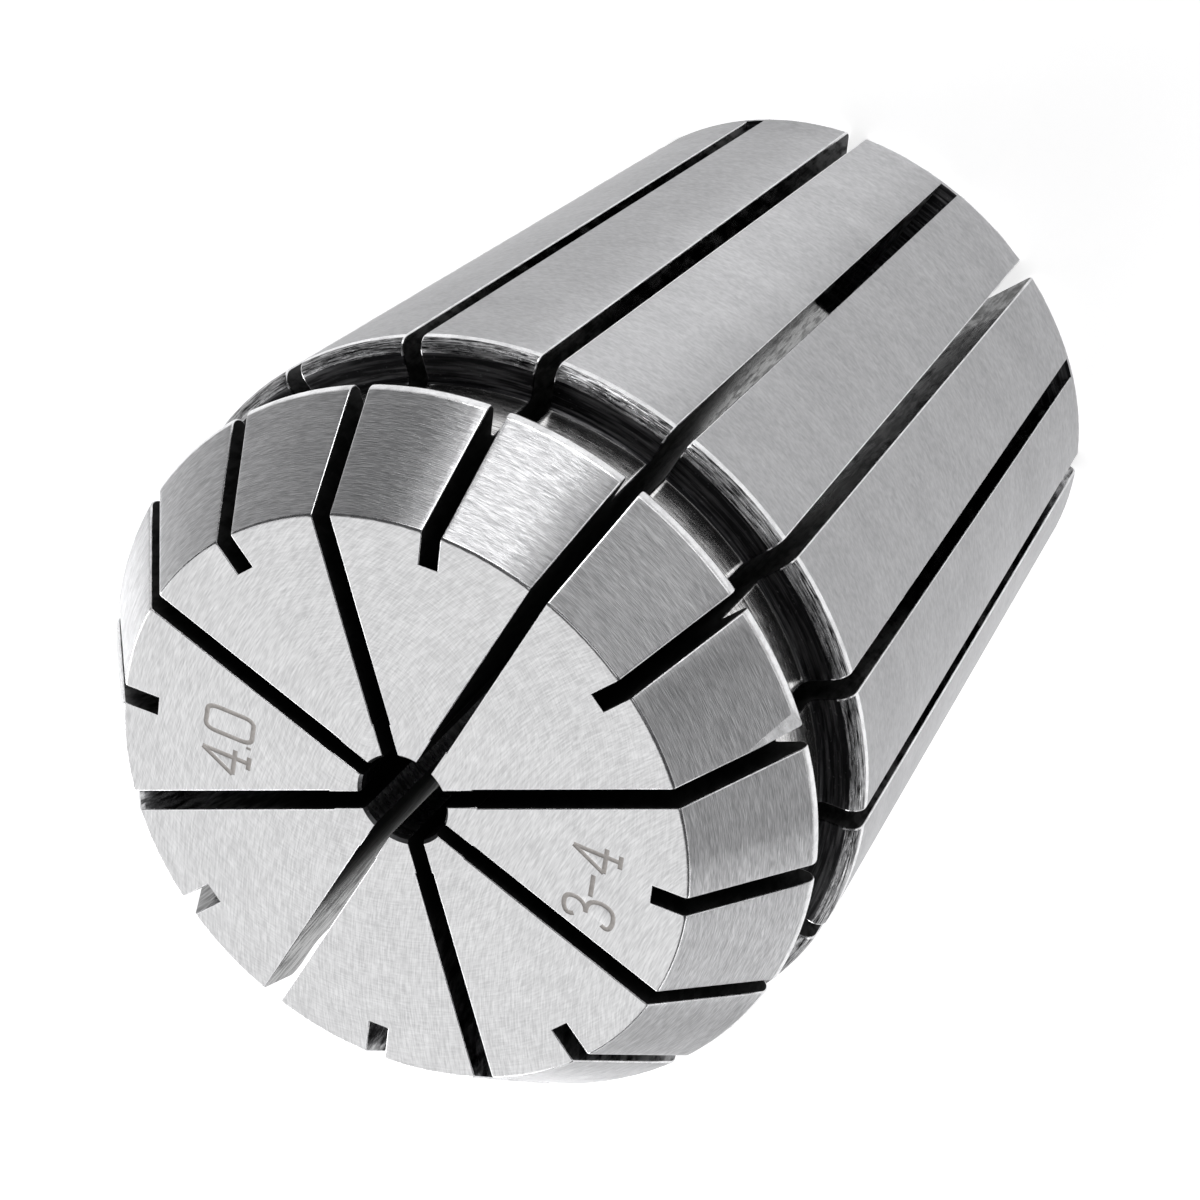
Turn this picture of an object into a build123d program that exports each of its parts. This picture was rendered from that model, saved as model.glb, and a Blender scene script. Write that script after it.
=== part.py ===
from build123d import *
import math
import os

# A double-slit spring collet for a 4 mm shank, turned, hardened and slit from one piece of steel.
# It stands on its small end: Z = 0 is the back face, Z = overall_length is the front face.
# Half of the slots are sawn from the front and half from the back, in turn, so that the
# segments hang together as one zigzag spring. One front slot lies along each of the X and Y axes.

# Seat, the long taper that goes into the chuck
overall_length = 40.0
seat_diameter = 33.0
seat_half_angle = 8.0
seat_edge_radius = 0.65
back_edge_radius = 0.4

# Nose, the short cone that the nut presses on, with its rim as wide as the seat
nose_length = 5.85
nose_half_angle = 32.0
nose_edge_radius = 0.5
face_edge_bevel = 0.12

# Extraction groove between the nose and the seat
groove_width = 3.6
groove_depth = 1.9

# Bores: the gripping bore in front, the wider relief bore behind it
grip_diameter = 4.0
grip_length = 18.0
grip_mouth_bevel = 0.13
relief_diameter = 14.0
relief_mouth_bevel = 0.4

# Saw slots
slots_each_way = 8
slot_width = 0.87
slot_floor_angle = 45.0
back_lip = 0.5
notch_depth = 1.6
grip_slot_width = 0.78
grip_slot_diameter = 7.0
core_diameter = 8.0

# Heights above the back face
front_z = overall_length
nose_z = front_z - nose_length
seat_z = nose_z - groove_width
grip_end_z = front_z - grip_length


# Radius of the sharp corner of a cone that is rim_radius wide once its rim is rounded
def sharp_radius(rim_radius, half_angle, edge_radius):
    angle = math.radians(half_angle)
    return rim_radius + edge_radius * (math.tan(angle) + 1 / math.cos(angle) - 1)


# Radii that follow from the sizes above
rim_radius = seat_diameter / 2
seat_taper = math.tan(math.radians(seat_half_angle))
nose_taper = math.tan(math.radians(nose_half_angle))
seat_radius = sharp_radius(rim_radius, seat_half_angle, seat_edge_radius)
back_radius = seat_radius - seat_z * seat_taper
nose_radius = sharp_radius(rim_radius, nose_half_angle, nose_edge_radius)
face_radius = nose_radius - nose_length * nose_taper
notch_radius = face_radius - notch_depth
groove_radius = rim_radius - groove_depth
grip_radius = grip_diameter / 2
relief_radius = relief_diameter / 2
relief_step = relief_radius - grip_radius
floor_rise = math.tan(math.radians(slot_floor_angle))
saw_overrun = 1.0
saw_radius = max(seat_radius, nose_radius) + saw_overrun


# The corner of a flat section that lies nearest to a radius and a height
def corner(section, radius, height):
    return section.vertices().sort_by_distance((radius, height, 0))[0]


# Half section of the turned blank, radius along X and height along Y
def blank_section():
    section = make_face(
        Polyline(
            (grip_radius, front_z),
            (face_radius, front_z),
            (nose_radius, nose_z),
            (groove_radius, nose_z),
            (groove_radius, seat_z),
            (seat_radius, seat_z),
            (back_radius, 0),
            (relief_radius, 0),
            (relief_radius, grip_end_z - relief_step),
            (grip_radius, grip_end_z),
            close=True,
        )
    )
    section = chamfer(corner(section, grip_radius, front_z), grip_mouth_bevel)
    section = chamfer(corner(section, relief_radius, 0), relief_mouth_bevel)
    section = chamfer(corner(section, face_radius, front_z), face_edge_bevel)
    section = fillet(corner(section, nose_radius, nose_z), nose_edge_radius)
    section = fillet(corner(section, seat_radius, seat_z), seat_edge_radius)
    section = fillet(corner(section, back_radius, 0), back_edge_radius)
    return section


# A plate as thick as the saw, from its outline in radius and height
def saw_cut(outline, width):
    side = Plane.XZ * make_face(Polyline(*outline, close=True))
    return extrude(side, amount=width / 2, both=True)


# Front slot: right down to the bore, with a sloping floor that leaves a lip at the back
def front_slot():
    floor_start = back_radius + back_lip * seat_taper
    outer_floor_z = back_lip - (saw_radius - floor_start) * floor_rise
    step_radius = grip_slot_diameter / 2
    step_floor_z = back_lip + (floor_start - step_radius) * floor_rise
    axis_floor_z = back_lip + floor_start * floor_rise
    top_z = front_z + saw_overrun
    outer = saw_cut(
        [
            (step_radius, top_z),
            (saw_radius, top_z),
            (saw_radius, outer_floor_z),
            (step_radius, step_floor_z),
        ],
        slot_width,
    )
    inner = saw_cut(
        [
            (0, top_z),
            (step_radius, top_z),
            (step_radius, step_floor_z),
            (0, axis_floor_z),
        ],
        grip_slot_width,
    )
    return outer + inner


# Back slot: stops short of the gripping bore and shows on the front face only as a rim notch
def back_slot():
    core_radius = core_diameter / 2
    outer_floor_z = front_z + (saw_radius - notch_radius) * floor_rise
    core_floor_z = front_z - (notch_radius - core_radius) * floor_rise
    return saw_cut(
        [
            (core_radius, -saw_overrun),
            (saw_radius, -saw_overrun),
            (saw_radius, outer_floor_z),
            (core_radius, core_floor_z),
        ],
        slot_width,
    )


# The finished collet: the blank with both rings of slots sawn into it
def collet():
    slot_pitch = 360 / slots_each_way
    body = revolve(Plane.XZ * blank_section(), Axis.Z)
    for number in range(slots_each_way):
        body -= Rot(0, 0, number * slot_pitch) * front_slot()
        body -= Rot(0, 0, (number + 0.5) * slot_pitch) * back_slot()
    return body


os.makedirs("parts", exist_ok=True)
export_step(collet(), "parts/collet.step")
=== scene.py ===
import math

import bpy
from mathutils import Matrix, Vector


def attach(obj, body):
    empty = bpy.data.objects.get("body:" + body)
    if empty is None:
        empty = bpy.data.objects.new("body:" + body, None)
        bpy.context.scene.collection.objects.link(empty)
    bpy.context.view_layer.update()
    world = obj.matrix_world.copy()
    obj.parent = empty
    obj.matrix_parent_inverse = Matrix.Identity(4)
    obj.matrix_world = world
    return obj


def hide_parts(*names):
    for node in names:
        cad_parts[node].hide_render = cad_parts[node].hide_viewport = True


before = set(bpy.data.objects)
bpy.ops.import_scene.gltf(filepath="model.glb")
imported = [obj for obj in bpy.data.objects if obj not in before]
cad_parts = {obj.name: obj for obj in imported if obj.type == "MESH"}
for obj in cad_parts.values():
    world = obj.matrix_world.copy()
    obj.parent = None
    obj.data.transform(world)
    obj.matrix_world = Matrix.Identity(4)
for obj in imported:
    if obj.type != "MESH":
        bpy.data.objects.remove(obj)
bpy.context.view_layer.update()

mm = 0.001

# sizes of the collet in millimetres, z up from the back face it stands on
collet = {
    "height": 40.0,
    "rimRadius": 16.5,
    "seatAngle": 8.0,
    "seatRim": 0.65,
    "backRim": 0.4,
    "noseLength": 5.85,
    "noseAngle": 32.0,
    "noseRim": 0.5,
    "faceRim": 0.2,
    "grooveWidth": 3.6,
    "grooveDepth": 1.9,
    "grooveCorner": 0.35,
    "gripRadius": 2.0,
    "gripLength": 18.0,
    "gripBevel": 0.13,
    "reliefRadius": 7.0,
    "reliefBevel": 0.4,
    "aroundSteps": 128,
    "weld": 0.002,
}

# the saw slots, half of them cut from each end
slots = {
    "eachWay": 8,
    "width": 0.87,
    "gripWidth": 0.78,
    "gripReach": 3.5,
    "gripOverlap": 0.2,
    "gripBelow": 8.0,
    "coreRadius": 4.0,
    "notchDepth": 1.6,
    "floorAngle": 45.0,
    "backLip": 0.5,
    "overrun": 1.0,
    "edgeBreak": 0.08,
    "faceBreak": 0.04,
    "breakSteps": 2,
    "sharpBelow": 0.8,
    "backSlotArc": 8.0,
    "floorTilt": 0.5,
}


# radius of the sharp corner of a cone that is rim wide once its rim is rounded
def sharpRadius(rim, angle, rounding):
    a = math.radians(angle)
    return rim + rounding * (math.tan(a) + 1 / math.cos(a) - 1)


faceZ = collet["height"]
noseZ = faceZ - collet["noseLength"]
seatZ = noseZ - collet["grooveWidth"]
gripEndZ = faceZ - collet["gripLength"]
seatTaper = math.tan(math.radians(collet["seatAngle"]))
noseTaper = math.tan(math.radians(collet["noseAngle"]))
noseCorner = sharpRadius(collet["rimRadius"], collet["noseAngle"], collet["noseRim"])
faceRadius = noseCorner - collet["noseLength"] * noseTaper
seatCorner = sharpRadius(collet["rimRadius"], collet["seatAngle"], collet["seatRim"])
backCorner = seatCorner - seatZ * seatTaper
grooveRadius = collet["rimRadius"] - collet["grooveDepth"]
notchRadius = faceRadius - slots["notchDepth"]


# helpers for modelling

# leaves nothing selected
def deselectAll():
    bpy.ops.object.select_all(action="DESELECT")


# makes one object the active and only selected one
def pick(obj):
    deselectAll()
    obj.select_set(True)
    bpy.context.view_layer.objects.active = obj


def editMode():
    bpy.ops.object.mode_set(mode="EDIT")


def objectMode():
    bpy.ops.object.mode_set(mode="OBJECT")


# goes to edit mode with only the vertices selected that pass the test
def selectVerts(obj, test):
    editMode()
    bpy.ops.mesh.select_mode(type="VERT")
    bpy.ops.mesh.select_all(action="DESELECT")
    objectMode()
    for vert in obj.data.vertices:
        vert.select = test(vert.co)
    editMode()


def applyModifier(obj, modifier):
    pick(obj)
    bpy.ops.object.modifier_apply(modifier=modifier.name)


# helpers for nodes

def addNode(tree, kind, x, y, **settings):
    node = tree.nodes.new(kind)
    node.location = (x, y)
    for key, value in settings.items():
        setattr(node, key, value)
    return node


# a math node with its inputs given as sockets or numbers
def addMath(tree, operation, a, b, x=0, y=0):
    node = addNode(tree, "ShaderNodeMath", x, y, operation=operation)
    for socket, value in zip(node.inputs, (a, b)):
        if isinstance(value, (int, float)):
            socket.default_value = value
        else:
            tree.links.new(value, socket)
    return node.outputs[0]


# a map range node, clamped
def addRange(tree, value, fromLow, fromHigh, toLow, toHigh, x=0, y=0):
    node = addNode(tree, "ShaderNodeMapRange", x, y)
    tree.links.new(value, node.inputs["Value"])
    node.inputs["From Min"].default_value = fromLow
    node.inputs["From Max"].default_value = fromHigh
    node.inputs["To Min"].default_value = toLow
    node.inputs["To Max"].default_value = toHigh
    return node.outputs["Result"]


# a group with its inputs (name, type, default) and outputs (name, type)
def newGroup(name, inputs, outputs):
    group = bpy.data.node_groups.new(name, "ShaderNodeTree")
    for label, kind, default in inputs:
        socket = group.interface.new_socket(name=label, in_out="INPUT", socket_type=kind)
        if default is not None:
            socket.default_value = default
    for label, kind in outputs:
        group.interface.new_socket(name=label, in_out="OUTPUT", socket_type=kind)
    source = addNode(group, "NodeGroupInput", -1200, 0)
    target = addNode(group, "NodeGroupOutput", 600, 0)
    return group, source, target


# marks that turning and grinding leave round the axis

# Level climbs along the section of a cone, a cylinder or a flat end alike, so
# noise that is stretched on X and Y and dense on Level makes streaks round the axis.
# Offset moves the centre of the streaks away from the axis, and Slant tips them like a thread.
def makeStreakGroup():
    group, source, target = newGroup(
        "streaks",
        [
            ("Coordinate", "NodeSocketVector", None),
            ("Offset", "NodeSocketVector", None),
            ("Along", "NodeSocketFloat", 0.5),
            ("Across", "NodeSocketFloat", 7.0),
            ("Slant", "NodeSocketFloat", 0.0),
            ("Detail", "NodeSocketFloat", 3.0),
            ("Low", "NodeSocketFloat", 0.25),
            ("High", "NodeSocketFloat", 0.75),
        ],
        [("Streaks", "NodeSocketFloat")],
    )
    link = group.links.new
    scaled = addNode(group, "ShaderNodeVectorMath", -1000, 0, operation="SCALE")
    scaled.inputs["Scale"].default_value = 1 / mm
    link(source.outputs["Coordinate"], scaled.inputs[0])
    moved = addNode(group, "ShaderNodeVectorMath", -850, 0, operation="SUBTRACT")
    link(scaled.outputs[0], moved.inputs[0])
    link(source.outputs["Offset"], moved.inputs[1])
    parts = addNode(group, "ShaderNodeSeparateXYZ", -700, 0)
    link(moved.outputs[0], parts.inputs[0])
    flat = addNode(group, "ShaderNodeCombineXYZ", -550, 150)
    link(parts.outputs["X"], flat.inputs["X"])
    link(parts.outputs["Y"], flat.inputs["Y"])
    radius = addNode(group, "ShaderNodeVectorMath", -400, 150, operation="LENGTH")
    link(flat.outputs[0], radius.inputs[0])
    turn = addMath(group, "ARCTAN2", parts.outputs["Y"], parts.outputs["X"], -400, 300)
    arc = addMath(group, "MULTIPLY", turn, radius.outputs["Value"], -250, 300)
    climb = addMath(group, "MULTIPLY", arc, source.outputs["Slant"], -100, 300)
    plain = addMath(group, "SUBTRACT", parts.outputs["Z"], radius.outputs["Value"], -250, 100)
    level = addMath(group, "ADD", plain, climb, 0, 200)
    alongX = addMath(group, "MULTIPLY", parts.outputs["X"], source.outputs["Along"], -250, -50)
    alongY = addMath(group, "MULTIPLY", parts.outputs["Y"], source.outputs["Along"], -250, -200)
    across = addMath(group, "MULTIPLY", level, source.outputs["Across"], -100, 100)
    place = addNode(group, "ShaderNodeCombineXYZ", 50, 0)
    link(alongX, place.inputs["X"])
    link(alongY, place.inputs["Y"])
    link(across, place.inputs["Z"])
    noise = addNode(group, "ShaderNodeTexNoise", 200, 0)
    noise.inputs["Scale"].default_value = 1
    noise.inputs["Roughness"].default_value = 0.6
    link(place.outputs[0], noise.inputs["Vector"])
    link(source.outputs["Detail"], noise.inputs["Detail"])
    spread = addNode(group, "ShaderNodeMapRange", 400, 0)
    link(noise.outputs["Fac"], spread.inputs["Value"])
    link(source.outputs["Low"], spread.inputs["From Min"])
    link(source.outputs["High"], spread.inputs["From Max"])
    link(spread.outputs["Result"], target.inputs["Streaks"])
    return group


streakGroup = makeStreakGroup()


# one layer of streaks from its values, as a node in a steel
def addStreaks(tree, coord, layer, x, y):
    node = addNode(tree, "ShaderNodeGroup", x, y)
    node.node_tree = streakGroup
    tree.links.new(coord.outputs["Object"], node.inputs["Coordinate"])
    for label in ("Offset", "Along", "Across", "Slant", "Detail", "Low", "High"):
        node.inputs[label].default_value = layer[label.lower()]
    return node.outputs[0]


# painted shade: ramps along the axes, in millimetres, from the share of the marks that is left up
# to all of them
def addPaintedShade(tree, parts, share, ramps, x, y):
    paintedShadeFactor = share
    for axis, start, end in ramps:
        place = parts.outputs[axis]
        ramp = addRange(tree, place, start * mm, end * mm, share, 1, x, y)
        paintedShadeFactor = addMath(tree, "MAXIMUM", ramp, paintedShadeFactor, x + 200, y)
    return paintedShadeFactor


# a steel: layers of streaks vary its colour and height, its grit varies the roughness,
# and where painted shade is laid on it, it is darker and, with a dullRough, duller
def makeSteel(name, look):
    mat = bpy.data.materials.new(name)
    mat.use_nodes = True
    tree = mat.node_tree
    link = tree.links.new
    shader = tree.nodes["Principled BSDF"]
    coord = addNode(tree, "ShaderNodeTexCoord", -1400, 0)
    marks = None
    for i, layer in enumerate(look["layers"]):
        y = 300 - 260 * i
        streaks = addStreaks(tree, coord, layer, -1100, y)
        part = addMath(tree, "MULTIPLY", streaks, layer["share"], -900, y)
        marks = part if marks is None else addMath(tree, "ADD", marks, part, -700, y)
    height = marks
    if "scratches" in look:
        height = addStreaks(tree, coord, look["scratches"], -900, -400)
    grit = addStreaks(tree, coord, look["grit"], -700, -100)
    rough = addRange(tree, grit, 0, 1, look["roughLow"], look["roughHigh"], -400, 0)
    # painted shade: the marks are darkened along the ramps, and made duller there with a
    # dullRough
    if "paintedShades" in look:
        parts = addNode(tree, "ShaderNodeSeparateXYZ", -1100, 700)
        link(coord.outputs["Object"], parts.inputs[0])
        for i, (share, ramps) in enumerate(look["paintedShades"]):
            y = 700 + 200 * i
            paintedShadeFactor = addPaintedShade(tree, parts, share, ramps, -900, y)
            marks = addMath(tree, "MULTIPLY", marks, paintedShadeFactor, -550, y - 200)
            if "dullRough" in look:
                dull = addRange(tree, paintedShadeFactor, share, 1, look["dullRough"], 0, -550, y + 200)
                rough = addMath(tree, "MAXIMUM", rough, dull, -250, y - 600)
    # inputs 6 and 7 are the two colours that are mixed, output 2 is what comes of it
    colour = addNode(tree, "ShaderNodeMix", -400, 250, data_type="RGBA")
    colour.inputs[6].default_value = (*look["dark"], 1)
    colour.inputs[7].default_value = (*look["light"], 1)
    link(marks, colour.inputs[0])
    link(colour.outputs[2], shader.inputs["Base Color"])
    link(rough, shader.inputs["Roughness"])
    bump = addNode(tree, "ShaderNodeBump", -400, -250)
    bump.inputs["Strength"].default_value = look["bump"]
    bump.inputs["Distance"].default_value = look["depth"] * mm
    link(height, bump.inputs["Height"])
    link(bump.outputs["Normal"], shader.inputs["Normal"])
    shader.inputs["Metallic"].default_value = 1
    shader.inputs["Anisotropic"].default_value = look["anisotropy"]
    shader.inputs["Anisotropic Rotation"].default_value = 0.25
    shader.inputs["Specular Tint"].default_value = look.get("edgeTint", (1, 1, 1, 1))
    tangent = addNode(tree, "ShaderNodeTangent", -400, -450, direction_type="RADIAL", axis="Z")
    link(tangent.outputs["Tangent"], shader.inputs["Tangent"])
    return mat


# the values of one layer of streaks
def streakLayer(
    share, along, across, slant=0.0, detail=3.0, low=0.25, high=0.75, offset=(0, 0, 0)
):
    return {
        "share": share,
        "along": along,
        "across": across,
        "slant": slant,
        "detail": detail,
        "low": low,
        "high": high,
        "offset": offset,
    }


# every finish of the one piece of steel, ground, turned, sawn or marked, and a near-black steel
# for painted shade
steelLooks = {
    "seatSteel": {
        "layers": [
            streakLayer(0.4, 3.0, 9, slant=0.12, detail=2, low=0.34, high=0.66),
            streakLayer(0.25, 2.0, 6, slant=-0.15, detail=2, low=0.32, high=0.68),
            streakLayer(0.35, 0.2, 0.6),
        ],
        "grit": streakLayer(1, 4, 9, detail=2, low=0.6, high=0.8),
        "dark": (0.36, 0.36, 0.37),
        "light": (0.57, 0.57, 0.58),
        "roughLow": 0.38,
        "roughHigh": 0.5,
        "bump": 0.7,
        "depth": 0.01,
        "anisotropy": 0.95,
    },
    "noseSteel": {
        "layers": [
            streakLayer(0.6, 1.8, 16, detail=1, low=0.36, high=0.64),
            streakLayer(0.4, 0.35, 2.5, detail=2),
        ],
        "scratches": streakLayer(1, 1.8, 16, detail=1, low=0.48, high=0.62, offset=(0.7, 0.4, 3)),
        "grit": streakLayer(1, 1.6, 14, detail=1, low=0.4, high=0.6, offset=(-0.5, 0.9, 5)),
        "dark": (0.36, 0.36, 0.37),
        "light": (0.69, 0.69, 0.70),
        "roughLow": 0.32,
        "roughHigh": 0.41,
        "bump": 1.0,
        "depth": 0.0035,
        "anisotropy": 0.95,
    },
    "faceSteel": {
        "layers": [
            streakLayer(0.3, 1.6, 14, detail=1, low=0.32, high=0.68, offset=(3, -2, 0)),
            streakLayer(0.5, 1.4, 14, detail=1, low=0.32, high=0.68, offset=(-24, -3, 0)),
            streakLayer(0.16, 0.4, 0.5),
        ],
        "grit": streakLayer(1, 5, 12, detail=2, low=0.55, high=0.75, offset=(6, 14, 0)),
        "dark": (0.44, 0.44, 0.445),
        "light": (0.71, 0.71, 0.715),
        "roughLow": 0.28,
        "roughHigh": 0.42,
        "bump": 0.8,
        "depth": 0.012,
        "anisotropy": 0.2,
    },
    "turnedSteel": {
        "layers": [
            streakLayer(0.6, 0.5, 10, detail=2, low=0.44, high=0.58),
            streakLayer(0.4, 1.6, 10, detail=2, low=0.42, high=0.6),
        ],
        "grit": streakLayer(1, 1.5, 6, detail=3),
        "dark": (0.01, 0.01, 0.011),
        "light": (0.58, 0.58, 0.59),
        "roughLow": 0.2,
        "roughHigh": 0.36,
        "bump": 1.0,
        "depth": 0.015,
        "anisotropy": 0.2,
    },
    "grooveSteel": {
        "layers": [
            streakLayer(0.7, 0.12, 9, detail=3, low=0.26, high=0.5),
            streakLayer(0.3, 1.2, 5, detail=3, low=0.2, high=0.6),
        ],
        "grit": streakLayer(1, 1.5, 6, detail=3),
        # painted shade: the groove is darker down towards the seat
        "paintedShades": [(0.06, [("Z", seatZ + 0.1, seatZ + 1.0)])],
        "dark": (0.08, 0.08, 0.081),
        "light": (0.9, 0.89, 0.89),
        "roughLow": 0.16,
        "roughHigh": 0.3,
        "bump": 0.7,
        "depth": 0.008,
        "anisotropy": 0.2,
    },
    # painted shade: a near-black steel laid where the groove and the slots lie in shade
    "paintedShadeSteel": {
        "layers": [
            streakLayer(0.6, 0.3, 5, detail=3, low=0.45, high=0.75),
            streakLayer(0.4, 5, 6, detail=2, low=0.66, high=0.74),
        ],
        "grit": streakLayer(1, 1.5, 6, detail=3),
        "dark": (0.01, 0.01, 0.011),
        "light": (0.16, 0.16, 0.165),
        "roughLow": 0.3,
        "roughHigh": 0.5,
        "bump": 0.6,
        "depth": 0.01,
        "anisotropy": 0.0,
    },
    "edgeSteel": {
        "layers": [
            streakLayer(0.4, 3, 3, detail=2, low=0.3, high=0.6),
            streakLayer(0.6, 0.6, 1.5, detail=2, low=0.3, high=0.6),
        ],
        "grit": streakLayer(1, 2, 2, detail=2),
        "dark": (0.5, 0.5, 0.51),
        "light": (0.82, 0.82, 0.83),
        "roughLow": 0.2,
        "roughHigh": 0.32,
        "bump": 0.3,
        "depth": 0.006,
        "anisotropy": 0.0,
    },
    "backSteel": {
        "layers": [
            streakLayer(0.6, 0.08, 6, detail=3, low=0.34, high=0.66),
            streakLayer(0.4, 0.6, 2, detail=4),
        ],
        "grit": streakLayer(1, 2, 4, detail=3),
        "dark": (0.30, 0.30, 0.31),
        "light": (0.58, 0.58, 0.59),
        "roughLow": 0.26,
        "roughHigh": 0.38,
        "bump": 0.8,
        "depth": 0.02,
        "anisotropy": 0.4,
    },
    "boreSteel": {
        "layers": [streakLayer(0.6, 0.3, 5, detail=2), streakLayer(0.4, 3, 3, low=0.5)],
        "grit": streakLayer(1, 2, 4, detail=3),
        "dark": (0.05, 0.05, 0.052),
        "light": (0.34, 0.34, 0.35),
        "roughLow": 0.22,
        "roughHigh": 0.36,
        "bump": 0.6,
        "depth": 0.015,
        "anisotropy": 0.3,
    },
    "sawnSteel": {
        "layers": [
            streakLayer(0.3, 7, 0.5, detail=3, low=0.36, high=0.64),
            streakLayer(0.7, 1.3, 1.3, detail=6, low=0.42, high=0.58),
        ],
        "grit": streakLayer(1, 1.1, 1.1, detail=6, low=0.42, high=0.58, offset=(2, 5, 7)),
        # painted shade on the slot walls: darker up towards the face, down towards the back face
        # and in near the axis, and duller there
        "paintedShades": [
            (0.04, [("Z", 31, 18), ("Y", 4, 10)]),
            (0.3, [("Z", 1, 8), ("X", 1, -2)]),
            (0.1, [("X", 3, 5), ("X", -3, -5), ("Y", 3, 5), ("Y", -3, -5)]),
        ],
        "dullRough": 0.65,
        "dark": (0.018, 0.018, 0.018),
        "light": (0.7, 0.7, 0.71),
        "roughLow": 0.05,
        "roughHigh": 0.24,
        "bump": 0.4,
        "depth": 0.004,
        "anisotropy": 0.0,
        "edgeTint": (0.4, 0.4, 0.4, 1),
    },
    "laserMark": {
        "layers": [streakLayer(0.5, 6, 8), streakLayer(0.5, 1.0, 1.5)],
        "grit": streakLayer(1, 3, 3, detail=3),
        "dark": (0.24, 0.225, 0.215),
        "light": (0.40, 0.38, 0.365),
        "roughLow": 0.42,
        "roughHigh": 0.55,
        "bump": 0.4,
        "depth": 0.006,
        "anisotropy": 0.0,
    },
}
steels = {name: makeSteel(name, look) for name, look in steelLooks.items()}
print("steels made:", ", ".join(steels))


# the turned blank

# points of an arc that rounds the corner between two straight runs
def roundCorner(before, corner, after, radius, steps):
    a = (Vector(before) - Vector(corner)).normalized()
    b = (Vector(after) - Vector(corner)).normalized()
    half = a.angle(b) / 2
    reach = radius / math.tan(half)
    centre = Vector(corner) + (a + b).normalized() * radius / math.sin(half)
    start = Vector(corner) + a * reach - centre
    end = Vector(corner) + b * reach - centre
    sweep = start.angle(end)
    points = []
    for i in range(steps + 1):
        t = i / steps
        weightA = math.sin((1 - t) * sweep) / math.sin(sweep)
        weightB = math.sin(t * sweep) / math.sin(sweep)
        points.append(centre + start * weightA + end * weightB)
    return points


# the turned section as (radius, height), from the bore mouth out over the rims and back
def colletSection():
    c = collet
    step = c["reliefRadius"] - c["gripRadius"]
    corners = [
        (c["gripRadius"], faceZ - c["gripBevel"], 0, 0),
        (c["gripRadius"] + c["gripBevel"], faceZ, 0, 0),
        (faceRadius, faceZ, c["faceRim"], 3),
        (noseCorner, noseZ, c["noseRim"], 9),
        (grooveRadius, noseZ, c["grooveCorner"], 4),
        (grooveRadius, seatZ, c["grooveCorner"], 4),
        (seatCorner, seatZ, c["seatRim"], 9),
        (backCorner, 0, c["backRim"], 4),
        (c["reliefRadius"] + c["reliefBevel"], 0, 0, 0),
        (c["reliefRadius"], c["reliefBevel"], 0, 0),
        (c["reliefRadius"], gripEndZ - step, 0, 0),
        (c["gripRadius"], gripEndZ, 0, 0),
    ]
    points = []
    for i, (radius, height, rounding, steps) in enumerate(corners):
        if rounding:
            before = corners[i - 1][:2]
            after = corners[(i + 1) % len(corners)][:2]
            points += roundCorner(before, (radius, height), after, rounding, steps)
        else:
            points.append(Vector((radius, height)))
    return points


# one vertex is extruded round the section, then the loop is spun about Z
def spinSection(name, points, steps):
    deselectAll()
    first = points[0]
    bpy.ops.mesh.primitive_plane_add(size=mm, location=(first.x * mm, 0, first.y * mm))
    obj = bpy.context.object
    obj.name = name
    bpy.ops.object.transform_apply(location=True, rotation=True, scale=True)
    editMode()
    bpy.ops.mesh.select_all(action="SELECT")
    bpy.ops.mesh.merge(type="CENTER")
    for here, there in zip(points, points[1:] + points[:1]):
        move = ((there.x - here.x) * mm, 0, (there.y - here.y) * mm)
        bpy.ops.mesh.extrude_region_move(TRANSFORM_OT_translate={"value": move})
    bpy.ops.mesh.select_all(action="SELECT")
    bpy.ops.mesh.remove_doubles(threshold=collet["weld"] * mm)
    bpy.ops.mesh.select_all(action="SELECT")
    bpy.ops.mesh.spin(steps=steps, angle=math.tau, center=(0, 0, 0), axis=(0, 0, 1))
    bpy.ops.mesh.select_all(action="SELECT")
    bpy.ops.mesh.remove_doubles(threshold=collet["weld"] * mm)
    bpy.ops.mesh.normals_make_consistent(inside=False)
    objectMode()
    return obj


# where one finish gives way to the next, in millimetres, and the shares as parts of a rim
borders = {
    "onFlat": 0.01,
    "boreMargin": 0.2,
    "reliefMargin": 0.5,
    "noseRimFoot": 0.05,
    "grooveFoot": 0.2,
    "flankMargin": 0.1,
    "glintShares": (0.75, 1.1),
    "backRimShare": 0.8,
    "backFlat": 0.02,
}

seatInside = collet["rimRadius"] - collet["seatRim"]
noseRimTop = noseZ + collet["noseRim"] * (1 + math.sin(math.radians(collet["noseAngle"])))
glintTop, glintFoot = [seatZ - collet["seatRim"] * share for share in borders["glintShares"]]

# the steels of the outside from the face down, each with the height where it ends
outsideBands = [
    (faceZ - borders["onFlat"], "faceSteel"),
    (faceZ - collet["faceRim"], "edgeSteel"),
    (noseRimTop, "noseSteel"),
    (noseZ + borders["noseRimFoot"], "edgeSteel"),
    (seatZ + borders["grooveFoot"], "grooveSteel"),
    (seatZ - borders["onFlat"], "flank"),
    (glintTop, "turnedSteel"),
    (glintFoot, "edgeSteel"),
    (collet["backRim"] * borders["backRimShare"], "seatSteel"),
    (borders["backFlat"], "edgeSteel"),
]


# which steel a turned face has, from its radius and height in millimetres
def turnedLook(radius, z):
    if radius < collet["gripRadius"] + borders["boreMargin"] and z < faceZ - borders["onFlat"]:
        return "boreSteel"
    if radius < collet["reliefRadius"] + borders["reliefMargin"] and z < gripEndZ:
        return "backSteel"
    steel = next((name for foot, name in outsideBands if z > foot), "backSteel")
    # painted shade: the flat at the foot of the groove, inside the seat rim, gets the near-black
    # steel
    if steel == "flank":
        return "paintedShadeSteel" if radius < seatInside + borders["flankMargin"] else "turnedSteel"
    return steel


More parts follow.
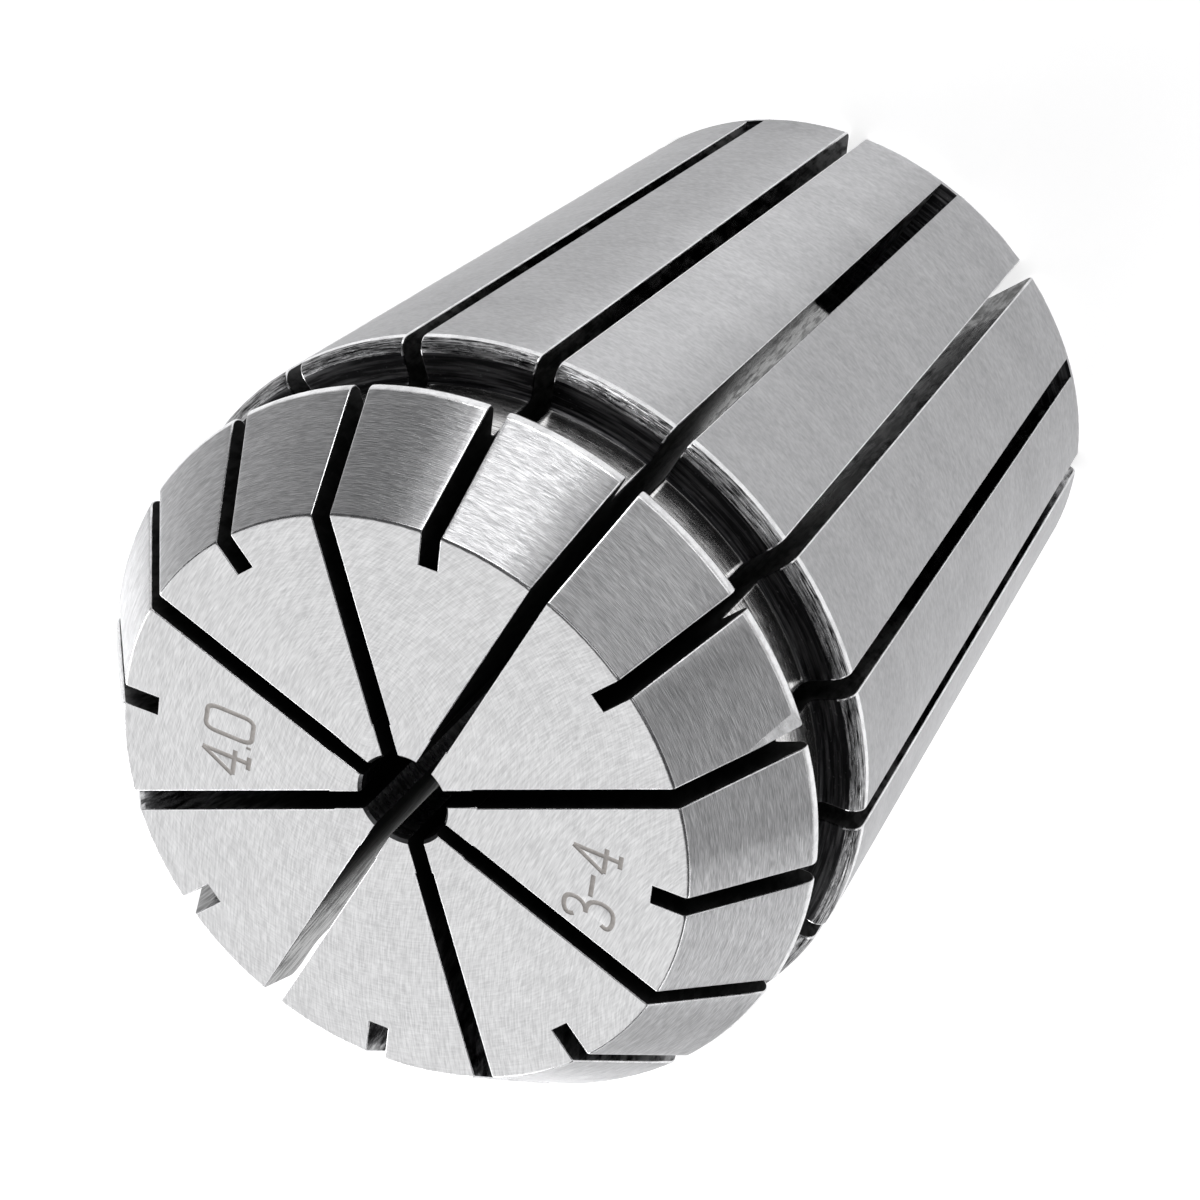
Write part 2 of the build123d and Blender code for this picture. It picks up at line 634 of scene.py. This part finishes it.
def giveSteels(obj):
    names = list(steels)
    obj.data.materials.clear()
    for name in names:
        obj.data.materials.append(steels[name])
    for face in obj.data.polygons:
        c = face.center / mm
        face.material_index = names.index(turnedLook(math.hypot(c.x, c.y), c.z))


body = spinSection("colletBody", colletSection(), collet["aroundSteps"])
giveSteels(body)
print("blank spun:", len(body.data.vertices), "vertices")


# the saw slots

# a saw plate between two radii, its ends at their own heights, made from a cube
def sawPlate(name, inner, outer, width, turn):
    innerR, innerLow, innerTop = inner
    outerR, outerLow, outerTop = outer
    deselectAll()
    bpy.ops.mesh.primitive_cube_add(size=1)
    plate = bpy.context.object
    plate.name = name
    plate.scale = ((outerR - innerR) * mm, width * mm, (innerTop - innerLow) * mm)
    plate.location = ((innerR + outerR) / 2 * mm, 0, (innerTop + innerLow) / 2 * mm)
    bpy.ops.object.transform_apply(location=True, rotation=True, scale=True)
    middle = (innerTop + innerLow) / 2 * mm
    split = (innerR + outerR) / 2 * mm
    selectVerts(plate, lambda co: co.x > split and co.z < middle)
    bpy.ops.transform.translate(value=(0, 0, (outerLow - innerLow) * mm))
    objectMode()
    selectVerts(plate, lambda co: co.x > split and co.z > middle)
    bpy.ops.transform.translate(value=(0, 0, (outerTop - innerTop) * mm))
    objectMode()
    plate.rotation_euler = (0, 0, turn)
    bpy.ops.object.transform_apply(location=True, rotation=True, scale=True)
    plate.data.materials.append(steels["sawnSteel"])
    return plate


# the cut faces take the cutter's material
def cutAway(obj, cutter):
    cut = obj.modifiers.new("cut", "BOOLEAN")
    cut.operation = "DIFFERENCE"
    cut.solver = "EXACT"
    cut.material_mode = "TRANSFER"
    cut.object = cutter
    applyModifier(obj, cut)
    bpy.data.objects.remove(cutter)


# saws both rings of slots into the blank
def sawSlots(obj):
    s = slots
    pitch = math.tau / s["eachWay"]
    rise = math.tan(math.radians(s["floorAngle"]))
    reach = max(seatCorner, noseCorner) + s["overrun"]
    top = faceZ + s["overrun"]
    bottom = -s["overrun"]
    lipR = backCorner + s["backLip"] * seatTaper
    gripR = s["gripReach"]
    coreR = s["coreRadius"]
    gripEnd = gripR + s["gripOverlap"]
    gripLow = gripEndZ - s["gripBelow"]
    for i in range(s["eachWay"] // 2):
        near = (-gripEnd, gripLow, top)
        far = (gripEnd, gripLow, top)
        cutAway(obj, sawPlate("gripSaw", near, far, s["gripWidth"], i * pitch))
    for i in range(s["eachWay"]):
        inner = (gripR, s["backLip"] + (lipR - gripR) * rise, top)
        outer = (reach, s["backLip"] - (reach - lipR) * rise, top)
        cutAway(obj, sawPlate("frontSaw", inner, outer, s["width"], i * pitch))
    for i in range(s["eachWay"]):
        inner = (coreR, bottom, faceZ - (notchRadius - coreR) * rise)
        outer = (reach, bottom, faceZ + (reach - notchRadius) * rise)
        cutAway(obj, sawPlate("backSaw", inner, outer, s["width"], (i + 0.5) * pitch))


sawSlots(body)
print("slots sawn:", len(body.data.vertices), "vertices")


# the size marks, plain figures sunk into the face with one stroke width

# strokes of the figures in millimetres, along and up from their middle, some 2.2 high
figures = {
    "3": [
        [
            (-0.38, 0.62), (-0.52, 0.9), (-0.15, 1.15), (0.42, 1.1),
            (0.5, 0.55), (0.2, 0.12), (-0.12, 0.1),
        ],
        [
            (-0.12, 0.1), (0.42, 0.12), (0.66, -0.5), (0.45, -1.12),
            (-0.2, -1.2), (-0.62, -0.95), (-0.42, -0.68),
        ],
    ],
    "4": [
        [(0.22, 1.1), (-0.62, -0.42)],
        [(-0.62, -0.42), (0.62, -0.42)],
        [(0.22, 1.1), (0.22, -1.1)],
        [(-0.1, -1.1), (0.54, -1.1)],
    ],
    "0": [
        [
            (0, 1.1), (-0.6, 1.1), (-0.6, 0), (-0.6, -1.1), (0, -1.1),
            (0.6, -1.1), (0.6, 0), (0.6, 1.1), (0, 1.1),
        ],
    ],
    "-": [[(-0.55, 0), (0.55, 0)]],
    ".": [[(-0.06, -1.0), (0.06, -1.0)]],
}
marks = {
    "turn": -69.5,
    "stroke": 0.11,
    "depth": 0.012,
    "range": {"middle": (-8.5, -2.84), "figures": [("3", -1.35), ("-", -0.05), ("4", 1.4)]},
    "size": {"middle": (7.5, 3.51), "figures": [("4", -0.95), (".", 0.02), ("0", 0.85)]},
}


# one stroke as a flattened rod lying half in the face, a ring if it ends where it starts
def strokeRod(points, middle, shift):
    closed = points[0] == points[-1]
    if closed:
        points = points[:-1]
    curve = bpy.data.curves.new("stroke", "CURVE")
    curve.dimensions = "3D"
    curve.bevel_depth = marks["stroke"] * mm
    curve.bevel_resolution = 3
    curve.use_fill_caps = True
    spline = curve.splines.new("NURBS")
    spline.points.add(len(points) - 1)
    a = math.radians(marks["turn"])
    for point, (along, up) in zip(spline.points, points):
        x = middle[0] + (along + shift) * math.cos(a) - up * math.sin(a)
        y = middle[1] + (along + shift) * math.sin(a) + up * math.cos(a)
        point.co = (x * mm, y * mm, 0, 1)
    spline.use_cyclic_u = closed
    spline.use_endpoint_u = not closed
    spline.order_u = min(3, len(points))
    rod = bpy.data.objects.new("stroke", curve)
    bpy.context.scene.collection.objects.link(rod)
    pick(rod)
    bpy.ops.object.convert(target="MESH")
    rod = bpy.context.object
    rod.scale = (1, 1, marks["depth"] / marks["stroke"])
    rod.location = (0, 0, faceZ * mm)
    bpy.ops.object.transform_apply(location=True, rotation=True, scale=True)
    rod.data.materials.clear()
    rod.data.materials.append(steels["laserMark"])
    return rod


def engrave(obj):
    for place in ("range", "size"):
        for figure, shift in marks[place]["figures"]:
            for points in figures[figure]:
                cutAway(obj, strokeRod(points, marks[place]["middle"], shift))


# broken edges

# faces that lie flatter to each other than this angle are one face
flats = {"weld": 0.001, "angle": 0.4}


# flat faces that the cuts left in strips become one again
def cleanFlats(obj):
    pick(obj)
    editMode()
    bpy.ops.mesh.select_all(action="SELECT")
    bpy.ops.mesh.remove_doubles(threshold=flats["weld"] * mm)
    bpy.ops.mesh.dissolve_limited(angle_limit=math.radians(flats["angle"]), delimit={"MATERIAL"})
    objectMode()


# edges between a slot and an outer surface are broken, those on the face less than the rest,
# and right above the back face only those of the slots that come from there
def breakEdges(obj):
    names = [m.name for m in obj.data.materials]
    verts = obj.data.vertices
    pitch = 360 / slots["eachWay"]
    least = slots["faceBreak"] / slots["edgeBreak"]
    faceOf = {}
    for face in obj.data.polygons:
        for key in face.edge_keys:
            faceOf.setdefault(key, []).append(names[face.material_index])
    weights = obj.data.attributes.new("bevel_weight_edge", "FLOAT", "EDGE")
    for edge in obj.data.edges:
        sides = faceOf.get(edge.key, [])
        if sides.count("sawnSteel") != 1 or "boreSteel" in sides or len(sides) != 2:
            continue
        middle = (verts[edge.vertices[0]].co + verts[edge.vertices[1]].co) / 2 / mm
        fromFrontSlot = math.degrees(math.atan2(middle.y, middle.x)) % pitch
        onBackSlot = abs(fromFrontSlot - pitch / 2) <= slots["backSlotArc"]
        if middle.z < slots["sharpBelow"] and not onBackSlot:
            continue
        below = min(1, (faceZ - middle.z) / (collet["faceRim"] / 2))
        weights.data[edge.index].value = least + (1 - least) * below
    bevel = obj.modifiers.new("breakEdges", "BEVEL")
    bevel.limit_method = "WEIGHT"
    bevel.offset_type = "OFFSET"
    bevel.width = slots["edgeBreak"] * mm
    bevel.segments = slots["breakSteps"]
    bevel.use_clamp_overlap = False
    bevel.material = names.index("edgeSteel")
    applyModifier(obj, bevel)


smoothAngle = 40


# shaded smooth over the turned rims, flat elsewhere
def smoothShading(obj):
    pick(obj)
    bpy.ops.object.shade_smooth_by_angle(angle=math.radians(smoothAngle))
    weighted = obj.modifiers.new("flatNormals", "WEIGHTED_NORMAL")
    weighted.keep_sharp = True
    weighted.weight = 100
    applyModifier(obj, weighted)


# a small flat where the saw ran out beside one slot, from three points on it: distance from
# the axis along the slot, distance from the middle of the slot, and height
scar = {
    "slotTurn": -135,
    "tip": (15.5, 0.72, 36.35),
    "end": (16.45, 1.28, 34.8),
    "deep": (16.33, 0.4, 34.6),
    "cutter": (1.5, 3.6, 1.0),
}


def cutScar(obj):
    a = math.radians(scar["slotTurn"])
    outward = Vector((math.cos(a), math.sin(a), 0))
    beside = Vector((-math.sin(a), math.cos(a), 0))
    tip, end, deep = [
        outward * scar[name][0] + beside * scar[name][1] + Vector((0, 0, scar[name][2]))
        for name in ("tip", "end", "deep")
    ]
    normal = (end - tip).cross(deep - tip).normalized()
    if normal.dot(outward) < 0:
        normal = -normal
    deselectAll()
    bpy.ops.mesh.primitive_cube_add(size=1)
    cutter = bpy.context.object
    cutter.scale = Vector(scar["cutter"]) * mm
    side = beside - normal * beside.dot(normal)
    side.normalize()
    turn = Matrix((side, normal.cross(side), normal)).transposed()
    cutter.rotation_euler = turn.to_euler()
    middle = (tip + end + deep) / 3
    cutter.location = (middle + normal * scar["cutter"][2] / 2) * mm
    bpy.ops.object.transform_apply(location=True, rotation=True, scale=True)
    cutter.data.materials.append(steels["edgeSteel"])
    cutAway(obj, cutter)


# painted shade: the sloping floors of the slots and their edges in the groove get the near-black
# steel
def paintFloorShade(obj):
    names = [m.name for m in obj.data.materials]
    low = seatZ - borders["grooveFoot"]
    high = noseZ + borders["noseRimFoot"]
    for face in obj.data.polygons:
        steel = names[face.material_index]
        c = face.center / mm
        inGroove = low < c.z < high and math.hypot(c.x, c.y) < seatInside
        isFloor = steel == "sawnSteel" and abs(face.normal.z) > slots["floorTilt"]
        if isFloor or (steel == "edgeSteel" and inGroove):
            face.material_index = names.index("paintedShadeSteel")


cleanFlats(body)
engrave(body)
breakEdges(body)
paintFloorShade(body)
cutScar(body)
smoothShading(body)
print("edges broken:", len(body.data.vertices), "vertices,", len(body.data.polygons), "faces")

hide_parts("collet")
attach(body, "root")


# floor, light and camera

# a white table that glows, a painted pool of light that is brightest where the collet stands
floorLook = {
    "size": 1.6,
    "colour": (0.7, 0.7, 0.7),
    "grain": 60,
    "rough": (0.75, 0.9),
    "glow": (0.76, 0.1),
    "paintedGlowReach": (0.09, 0.26),
}


def makeFloor():
    deselectAll()
    bpy.ops.mesh.primitive_plane_add(size=floorLook["size"], location=(0, 0, 0))
    floor = bpy.context.object
    floor.name = "floor"
    mat = bpy.data.materials.new("floorPaper")
    mat.use_nodes = True
    tree = mat.node_tree
    shader = tree.nodes["Principled BSDF"]
    coord = addNode(tree, "ShaderNodeTexCoord", -800, 0)
    noise = addNode(tree, "ShaderNodeTexNoise", -600, 0)
    noise.inputs["Scale"].default_value = floorLook["grain"]
    tree.links.new(coord.outputs["Object"], noise.inputs["Vector"])
    rough = addRange(tree, noise.outputs["Fac"], 0.3, 0.7, *floorLook["rough"], -300, 0)
    tree.links.new(rough, shader.inputs["Roughness"])
    shader.inputs["Base Color"].default_value = (*floorLook["colour"], 1)
    shader.inputs["Emission Color"].default_value = (1, 1, 1, 1)
    away = addNode(tree, "ShaderNodeVectorMath", -600, -250, operation="LENGTH")
    tree.links.new(coord.outputs["Object"], away.inputs[0])
    # painted pool of light: the floor's glow is strongest near the collet and falls off outwards
    inner, outer = floorLook["paintedGlowReach"]
    paintedLightPool = addRange(tree, away.outputs["Value"], inner, outer, *floorLook["glow"], -300, -250)
    tree.links.new(paintedLightPool, shader.inputs["Emission Strength"])
    floor.data.materials.append(mat)
    return floor


# soft boxes by azimuth and elevation in degrees, distance and size in metres, and brightness
aimHeight = 0.03
lights = {
    "keyBox": {"az": 80, "el": 45, "away": 0.5, "size": (0.76, 0.46), "glow": 1.15},
    "backStrip": {"az": 77, "el": 10, "away": 0.6, "size": (0.76, 0.19), "glow": 5.4},
    "sideStrip": {"az": -58, "el": 10, "away": 0.6, "size": (0.34, 0.19), "glow": 5.7},
    "leftStrip": {"az": 157, "el": 10, "away": 0.6, "size": (0.49, 0.19), "glow": 1.95},
    "frontStrip": {"az": -98, "el": 10, "away": 0.6, "size": (0.69, 0.19), "glow": 1.4},
    "cornerStrip": {"az": -154, "el": 10, "away": 0.6, "size": (0.48, 0.19), "glow": 0.92},
    "topBox": {"az": -112, "el": 58, "away": 0.6, "size": (0.25, 0.28), "glow": 0.8},
}


def makeLight(name, look):
    data = bpy.data.lights.new(name, "AREA")
    data.shape = "RECTANGLE"
    data.size, data.size_y = look["size"]
    data.energy = look["glow"] * math.pi * data.size * data.size_y
    lamp = bpy.data.objects.new(name, data)
    bpy.context.scene.collection.objects.link(lamp)
    az = math.radians(look["az"])
    el = math.radians(look["el"])
    towards = Vector((math.cos(el) * math.cos(az), math.cos(el) * math.sin(az), math.sin(el)))
    lamp.location = towards * look["away"] + Vector((0, 0, aimHeight))
    lamp.rotation_euler = towards.to_track_quat("Z", "Y").to_euler()
    lamp.visible_camera = False
    return lamp


studioGrey = (0.06, 0.06, 0.062)


def makeWorld():
    world = bpy.data.worlds.new("studio")
    world.use_nodes = True
    back = world.node_tree.nodes["Background"]
    back.inputs["Color"].default_value = (*studioGrey, 1)
    back.inputs["Strength"].default_value = 1
    bpy.context.scene.world = world


# where the photograph was taken from, a long lens high in front
view = {
    "place": (-42.980, -300.016, 376.801),
    "turn": (-31.283568, 27.176872, -151.221626),
    "lens": 328.157,
    "sensor": 36,
    "clip": (0.02, 10),
}


def makeCamera():
    data = bpy.data.cameras.new("camera")
    data.sensor_width = view["sensor"]
    data.lens = view["lens"]
    data.clip_start, data.clip_end = view["clip"]
    camera = bpy.data.objects.new("camera", data)
    camera.location = Vector(view["place"]) * mm
    camera.rotation_euler = [math.radians(a) for a in view["turn"]]
    bpy.context.scene.collection.objects.link(camera)
    bpy.context.scene.camera = camera


makeFloor()
for name, look in lights.items():
    makeLight(name, look)
makeWorld()
makeCamera()
bpy.context.scene.view_settings.view_transform = "Standard"
print("floor, lights and camera set")
